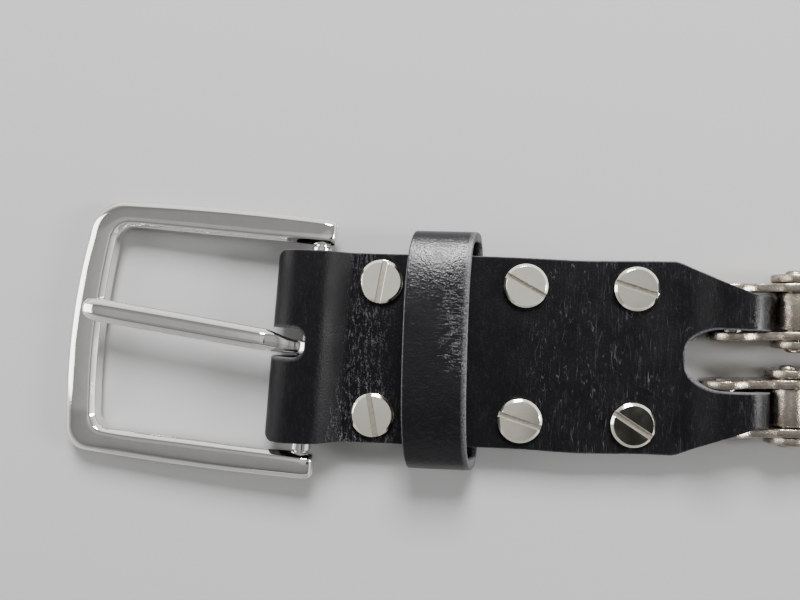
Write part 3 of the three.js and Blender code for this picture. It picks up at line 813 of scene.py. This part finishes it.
metal_group, given, result = new_group(
    "metal_finish",
    [("Cloud", "NodeSocketFloat"), ("Rub", "NodeSocketFloat")],
    [("Cloud", "NodeSocketFloat"), ("Height", "NodeSocketFloat"), ("Marks", "NodeSocketFloat")])
place = millimetres(metal_group)
cloud = noise(metal_group, place, given.outputs["Cloud"], 5.0, Roughness=0.6)
ripple = noise(metal_group, place, 0.10, 1.0)
pits = noise(metal_group, place, 4.0, 4.0)
marks = maths(metal_group, "MULTIPLY", hair_lines(metal_group, place, (0.7, 0.25, 0.5), 0.9, 0.006),
              given.outputs["Rub"])
metal_group.links.new(ramp(metal_group, cloud, 0.3, 0.7), result.inputs["Cloud"])
unevenness = maths(metal_group, "ADD", ripple, maths(metal_group, "MULTIPLY", pits, given.outputs["Rub"]))
metal_group.links.new(unevenness, result.inputs["Height"])
metal_group.links.new(marks, result.inputs["Marks"])


def metal_material(name, clean, dull, gloss, cloud_scale, rub, bump):
    """Plated metal: a clean and a dull tone in clouds, faint rubbed marks and a slightly uneven face."""
    material, tree, shader = new_material(name)
    shader.inputs["Metallic"].default_value = 1
    finish = put(tree, "ShaderNodeGroup", {"Cloud": cloud_scale, "Rub": rub}, node_tree=metal_group)
    tree.links.new(blend_colors(tree, finish.outputs["Cloud"], clean, dull), shader.inputs["Base Color"])
    rough = ramp(tree, finish.outputs["Cloud"], 0.0, 1.0, gloss[0], gloss[1])
    tree.links.new(maths(tree, "ADD", rough, maths(tree, "MULTIPLY", finish.outputs["Marks"], 0.2)),
                   shader.inputs["Roughness"])
    raised = put(tree, "ShaderNodeBump", {"Height": finish.outputs["Height"], "Strength": bump,
                                          "Distance": 1 * mm})
    tree.links.new(raised.outputs[0], shader.inputs["Normal"])
    return material


polished_nickel = metal_material("polished_nickel", (0.82, 0.815, 0.795, 1), (0.76, 0.755, 0.735, 1),
                                 gloss=(0.03, 0.07), cloud_scale=0.3, rub=0.02, bump=0.12)
buckle_frame.data.materials.append(polished_nickel)
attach(buckle_frame, "buckle")
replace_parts(buckle_frame, "buckle_frame")


# Buckle bar: a plain turned steel rod inside the leather fold, thinner at both ends, where it is
# pressed into the arms.
def mirrored_profile(half):
    """Half a profile, then its mirror image."""
    return half + [(-along, radius) for along, radius in reversed(half)]


def turned(name, profile, sides, place):
    """A round piece: one row of (distance along, radius) points, spun about its own axis."""
    rows = []
    for i in range(sides + 1):
        turn = 2 * math.pi * i / sides
        rows.append([place(along, radius * math.cos(turn), radius * math.sin(turn))
                     for along, radius in profile])
    piece = sweep(name, rows, closed=False)
    close_seams(piece, 0.005)
    return piece


shoulder = FRAME["half"] - FRAME["arm"] - 0.3
bar_half = [(shoulder + 3.1, 0), (shoulder + 3.1, 1.3), (shoulder + 2.9, 1.5), (shoulder, 1.5),
            (shoulder, 1.85), (shoulder - 0.25, 2.1), (shoulder - 4, 2.1), (0, 2.1)]
bar_profile = bar_half + [(-along, radius) for along, radius in reversed(bar_half[:-1])]
buckle_bar = turned("buckle_bar_rod", bar_profile, 32, lambda along, a, b: from_bar(a, along, b))
buckle_bar.data.materials.append(polished_nickel)
smooth(buckle_bar, 35)
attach(buckle_bar, "buckle")
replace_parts(buckle_bar, "buckle_bar")


# Tongue: a cast finger with a bevelled top. It rests on the far bar, runs back to the strap, dips
# through the slot in the fold and turns on the bar with a small ring.
TONGUE_SKEW = math.tan(math.radians(3.7))
TONGUE_Y = 0.36
NECK_START = 9.1
NECK_GROUND = 1.7
EYE_ASIDE = -0.45
TONGUE_ROWS = (
    # reach, rise, width, thickness, set aside
    (49.8, 3.8, 1.2, 1.2, 0), (49.7, 3.9, 2.3, 1.8, 0), (49.35, 4.0, 3.4, 2.25, 0),
    (48.7, 4.12, 4.2, 2.55, 0), (47.6, 4.22, 4.75, 2.7, 0), (46, 4.28, 5.0, 2.8, 0),
    (44, 4.3, 5.0, 2.8, 0), (38, 4.3, 5.0, 2.9, 0), (26, 4.15, 5.0, 3.0, 0), (14, 3.8, 4.8, 2.95, 0),
    (9.4, 3.62, 4.7, 2.85, 0), (NECK_START, 3.56, 4.65, 2.8, 0), (8.8, 3.42, 4.55, 2.75, -0.03),
    (7.4, 2.9, 4.1, 2.6, -0.2), (6.0, 2.25, 3.6, 2.4, -0.4), (4.6, 1.5, 3.1, 1.75, -0.55),
    (3.4, 0.95, 2.85, 1.7, -0.58), (2.6, 0.7, 2.8, 1.6, -0.55),
)
# Share of the half width and half thickness: a flat top, wide bevels, short sides, a rounder belly
TONGUE_SECTION = (
    (0.42, 1), (0, 1.04), (-0.42, 1), (-0.52, 0.96), (-0.90, 0.44), (-0.98, 0.28), (-1, 0), (-0.98, -0.3),
    (-0.86, -0.62), (-0.5, -0.93), (0, -1), (0.5, -0.93), (0.86, -0.62), (0.98, -0.3), (1, 0), (0.98, 0.28),
    (0.90, 0.44), (0.52, 0.96),
)
# The neck's: its flat is ground out to the upper side
NECK_SECTION = (
    (0.74, 1), (0.1, 1.05), (-0.45, 1), (-0.56, 0.95), (-0.90, 0.5), (-0.98, 0.3), (-1, 0), (-0.98, -0.3),
    (-0.86, -0.62), (-0.5, -0.93), (0, -1), (0.5, -0.93), (0.86, -0.62), (0.98, -0.3), (1, 0), (1, 0.45),
    (0.96, 0.72), (0.84, 0.94),
)
tongue_rows = []
for reach, rise, width, thickness, aside in TONGUE_ROWS:
    side = TONGUE_Y + TONGUE_SKEW * reach + aside
    ground = min(max((NECK_START - reach) / NECK_GROUND, 0), 1)
    section = [Vector(plain).lerp(Vector(neck), ground) for plain, neck in zip(TONGUE_SECTION, NECK_SECTION)]
    tongue_rows.append([from_bar(-reach, side + a * width / 2, rise + b * thickness / 2)
                        for a, b in section])
tongue = sweep("buckle_tongue_cast", tongue_rows, closed=True)
turn_out(tongue)
apply_modifier(tongue, "SUBSURF", levels=1, render_levels=1)
EYE = {"inner": 2.4, "outer": 3.3, "half": 1.5, "round": 0.3, "round_middle": 0.09}
eye_half = [(-EYE["half"], EYE["inner"]), (-EYE["half"], EYE["outer"] - EYE["round"]),
            (-EYE["half"] + EYE["round_middle"], EYE["outer"] - EYE["round_middle"]),
            (-EYE["half"] + EYE["round"], EYE["outer"])]
eye = turned("tongue_eye", mirrored_profile(eye_half) + eye_half[:1], 40,
             lambda along, a, b: from_bar(a, TONGUE_Y + EYE_ASIDE + along, b))
apply_modifier(tongue, "BOOLEAN", operation="UNION", object=eye, solver="EXACT")
bpy.data.objects.remove(eye)
tongue.data.materials.clear()
tongue.data.materials.append(polished_nickel)
smooth(tongue, 38)
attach(tongue, "tongue")
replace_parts(tongue, "buckle_tongue")


# Screw posts: each is a slotted screw head with a chamfered rim, turned down on a post that goes
# through both layers of leather to a flat back head. They are plated in bright nickel; inside the
# driver slots it is rougher, and painted darker as the slots' shade.
HEAD = {"seat": 6.4, "thick": 1.3, "slot": 1.15, "slot_depth": 0.7, "slot_length": 12}
POST_RADIUS = 2.35
# Height and radius of the back head's rim, and of the head's over the leather that it sits on
BACK_RIM = ((0, 3.9), (0.12, 4.3), (0.4, 4.55), (0.7, 4.6), (1.0, 4.5), (1.1, 4.3))
HEAD_RIM = ((0, 4.45), (0.1, 4.6), (0.8, 4.6), (0.92, 4.57), (1.24, 4.14), (HEAD["thick"], 4.03))
POST_PROFILE = [
    (0, 0), *BACK_RIM, (BACK_RIM[-1][0], POST_RADIUS), (HEAD["seat"], POST_RADIUS),
    *((HEAD["seat"] + up, radius) for up, radius in HEAD_RIM), (HEAD["seat"] + HEAD["thick"], 0),
]
screw_nickel = metal_material("screw_nickel", (0.90, 0.87, 0.77, 1), (0.85, 0.81, 0.70, 1),
                              gloss=(0.10, 0.16), cloud_scale=0.35, rub=0.03, bump=0.02)
# Painted shade: the nickel inside the slots is darker than the head's
slot_nickel_painted_shade = metal_material("slot_nickel_painted_shade", (0.60, 0.56, 0.48, 1), (0.36, 0.33, 0.28, 1),
                             gloss=(0.34, 0.48), cloud_scale=1.2, rub=0.3, bump=0.1)


def screw_post(name, centre, slot_degrees):
    """One post turned on its axis, with its driver slot cut and the slot's rims softened."""
    post = turned(name, POST_PROFILE, 56, lambda along, a, b: centre + Vector((a * mm, b * mm, along * mm)))
    top = centre + Vector((0, 0, (HEAD["seat"] + HEAD["thick"]) * mm))
    deselect_all()
    bpy.ops.mesh.primitive_cube_add(size=1, location=top, rotation=(0, 0, math.radians(slot_degrees)))
    cutter = bpy.context.object
    cutter.scale = (HEAD["slot_length"] * mm, HEAD["slot"] * mm, 2 * HEAD["slot_depth"] * mm)
    for part in (post, cutter):
        part.data.materials.append(screw_nickel)
        part.data.materials.append(slot_nickel_painted_shade)
    # The slot's faces take the darker nickel, which paints the shade in the slot
    for face in cutter.data.polygons:
        face.material_index = 1
    apply_modifier(post, "BOOLEAN", operation="DIFFERENCE", object=cutter, solver="EXACT")
    bpy.data.objects.remove(cutter)
    bevel(post, 0.16, 2, 50, material=0)
    smooth(post, 20)
    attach(post, "strap")
    return post


def set_posts(strap, places, slot_turns):
    """Sets a post at each place: column after column, the upper one first."""
    for number, (centre, turn) in enumerate(zip(places, slot_turns)):
        node = f"{strap}_screw_{number // 2 + 1}_{('upper', 'lower')[number % 2]}"
        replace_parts(screw_post(node + "_post", centre, turn), node)


set_posts("front", front_screws, (81, -79, -28, -17, -17, -32))


# Roller chains: two lengths of half-inch chain in tarnished nickel. Inner links carry rollers on
# their bushes, outer links are riveted over them on pins, and the first and last link are inner.
PITCH = 12.7
LINKS = 27
PIN_Z = 4.8
CHAIN_OFFSET = 9.85
UPPER_FIRST_PIN = 95.8
LOWER_FIRST_PIN = 94.7
ASKEW_LENGTH = 70
chain_nickel = metal_material("chain_nickel", (0.52, 0.475, 0.415, 1), (0.20, 0.16, 0.12, 1),
                              gloss=(0.12, 0.38), cloud_scale=0.55, rub=0.5, bump=0.16)


def chain_pins(first_x, base_y, wander):
    """The pins, a pitch apart. The chain leaves the fork a little askew and comes back into line."""
    pins = [Vector((first_x, base_y))]
    for i in range(1, LINKS + 1):
        s = i * PITCH
        y = base_y + wander * s * max(0, 1 - s / ASKEW_LENGTH) ** 2
        before = pins[-1]
        pins.append(Vector((before.x + math.sqrt(PITCH ** 2 - (y - before.y) ** 2), y)))
    return pins


def link_plate(name, radius, waist, from_y, to_y):
    """A stamped plate: two round ends drawn in at the waist, extruded to its thickness, edges eased."""
    outline = []
    round_from, round_to, round_parts = 52, 308, 14
    for i in range(round_parts + 1):
        turn = math.radians(round_from + (round_to - round_from) * i / round_parts)
        outline.append((radius * math.cos(turn), radius * math.sin(turn)))
    end_x, end_z = outline[0]
    for i in range(1, 6):
        share = i / 6
        x = end_x + (PITCH - 2 * end_x) * share
        dip = math.sin(math.pi * share)
        outline.append((x, -(end_z + (waist - end_z) * dip)))
    outline += [(PITCH - x, -z) for x, z in outline[:]]
    deselect_all()
    bpy.ops.mesh.primitive_circle_add(vertices=len(outline), radius=1 * mm, fill_type="NGON")
    plate = bpy.context.object
    plate.name = name
    bpy.ops.object.mode_set(mode="EDIT")
    shape = bmesh.from_edit_mesh(plate.data)
    for vert, (x, z) in zip(shape.verts, outline):
        vert.co = Vector((x * mm, from_y * mm, z * mm))
    bmesh.update_edit_mesh(plate.data)
    bpy.ops.mesh.select_all(action="SELECT")
    bpy.ops.mesh.extrude_region_move(TRANSFORM_OT_translate={"value": (0, (to_y - from_y) * mm, 0)})
    bpy.ops.mesh.select_all(action="SELECT")
    bpy.ops.mesh.normals_make_consistent(inside=False)
    bpy.ops.object.mode_set(mode="OBJECT")
    bevel(plate, 0.28, 2, 60)
    smooth(plate, 40)
    return plate


def on_axis(along, a, b):
    return Vector((a * mm, along * mm, b * mm))


ROLLER_HALF = [(3.85, 1.5), (3.85, 3.6), (3.75, 3.82), (3.5, 3.9)]
BUSH_HALF = [(5.9, 0), (5.9, 2.25), (5.75, 2.4), (4.2, 2.4)]
RIVET_HALF = [(8.45, 0), (8.45, 0.95), (8.3, 1.35), (8.05, 1.58), (7.75, 1.62), (7.65, 1.5)]
roller = turned("roller", mirrored_profile(ROLLER_HALF) + ROLLER_HALF[:1], 32, on_axis)
bush = turned("bush", mirrored_profile(BUSH_HALF), 24, on_axis)
rivet = turned("rivet", mirrored_profile(RIVET_HALF), 20, on_axis)
inner_plate = link_plate("inner_plate", 4.8, 3.95, 4.05, 5.75)
outer_plate = link_plate("outer_plate", 4.25, 3.4, 5.95, 7.6)
for part in (roller, bush, rivet):
    smooth(part, 35)


def roller_chain(name, node, pins):
    """Sets copies of the link parts along the pins and joins them into one chain."""
    parts = []

    def set_part(part, place):
        copy = part.copy()
        copy.data = part.data.copy()
        bpy.context.scene.collection.objects.link(copy)
        copy.matrix_world = place
        parts.append(copy)

    for i, pin in enumerate(pins):
        place = Matrix.Translation(on_belt(pin.x, pin.y, PIN_Z))
        set_part(bush, place)
        if 0 < i < LINKS:
            set_part(roller, place)
            set_part(rivet, place)
        if i < LINKS:
            along = pins[i + 1] - pin
            turned_place = place @ Matrix.Rotation(math.atan2(along.y, along.x), 4, "Z")
            plate = inner_plate if i % 2 == 0 else outer_plate
            set_part(plate, turned_place)
            set_part(plate, turned_place @ Matrix.Scale(-1, 4, (0, 1, 0)))
    deselect_all()
    for part in parts:
        part.select_set(True)
    bpy.context.view_layer.objects.active = parts[0]
    bpy.ops.object.join()
    chain = bpy.context.object
    chain.name = name
    bpy.ops.object.transform_apply(location=True, rotation=True, scale=True)
    turn_out(chain)
    chain.data.materials.clear()
    chain.data.materials.append(chain_nickel)
    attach(chain, "strap")
    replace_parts(chain, node)
    return chain


upper_pins = chain_pins(UPPER_FIRST_PIN, CHAIN_OFFSET, math.tan(math.radians(3.2)))
lower_pins = chain_pins(LOWER_FIRST_PIN, -CHAIN_OFFSET, math.tan(math.radians(4.6)))
upper_chain = roller_chain("upper_chain_links", "upper_chain", upper_pins)
lower_chain = roller_chain("lower_chain_links", "lower_chain", lower_pins)
for part in (roller, bush, rivet, inner_plate, outer_plate):
    bpy.data.objects.remove(part)


# Tip strap: the other leather end, cut and forked like the front one but pointed, single layered
# past its screws and punched with six holes for the tongue. It is turned to face the chains.
TIP_LENGTH = 430
TIP_POINT = 26
TIP_TAIL = FORK_END - 58
TIP_COLUMNS = (FORK_END - 27.1, FORK_END - 50.3)
TIP_HOLES = {"count": 6, "spacing": 25, "from_end": 82, "radius": 2.5}
tip_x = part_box("tip_strap")[0].x + FORK_END * mm
tip_end = FORK_END - TIP_LENGTH


def on_tip(x, y, z):
    """The end is cut to a rounded point, so the rows near it bend along with its outline."""
    inset = TIP_POINT * (1 - math.sqrt(max(1 - (y / STRAP_HALF) ** 2, 0)))
    x += inset * max(0, 1 - (x - tip_end) / (TIP_POINT + 6))
    return Vector((tip_x - x * mm, strap_y - y * mm, z * mm))


tip = [
    (tip_end, ON_TABLE),
    *run(tip_end, TIP_TAIL - 15, ON_TABLE, 2.2),
    *ease(TIP_TAIL - 15, ON_TABLE, TIP_TAIL - 1, UPPER_LAYER, 12),
    *run(TIP_TAIL - 1, SHOULDER, UPPER_LAYER, 1.1),
    *chain_fold(),
    *run(TAB_MEETS_LAYER, TIP_TAIL, LOWER_LAYER, 1.4),
    (TIP_TAIL, LOWER_LAYER),
]
tip_turn = tip.index(max(tip))


def tip_gap(index, x):
    return fork_gap(x) if x > FORK_APEX else beside_gap(FORK_APEX - x), 0


def tip_lift(index, x, y):
    return swell(x, y, TIP_TAIL, TIP_TAIL + 4, TIP_COLUMNS) if index <= tip_turn else 0


tip_strap, tip_slots = lay_strap(
    "tip_strap_leather", tip, on_tip, half_width, lambda index, x: x > FORK_APEX, tip_gap, tip_lift,
    lambda x: 0)
# The tip's creases, with their glints painted pale, are strongest where its tabs bend round the pins: a
# painted highlight
dress_strap(tip_strap, tip, tip_slots, lambda x, side: 0.35 + 0.5 * step(x, 60, 90),
            lambda index, x, y: 0.12 + 0.25 * step(x, 92, 97),
            lambda index, x, y: 0.15 + 0.35 * step(x, 50, 60))
hole_places = [on_tip(tip_end + TIP_HOLES["from_end"] + i * TIP_HOLES["spacing"], 0, 0)
               for i in range(TIP_HOLES["count"])]
tip_screws = [on_tip(x, y, 0) for x in TIP_COLUMNS for y in (-SCREW_ROW, SCREW_ROW)]
punch(tip_strap, hole_places, TIP_HOLES["radius"])
punch(tip_strap, tip_screws, POST_HOLE)
smooth(tip_strap, 40)
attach(tip_strap, "strap")
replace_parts(tip_strap, "tip_strap")
set_posts("tip", tip_screws, (25, 62, -40, 8))
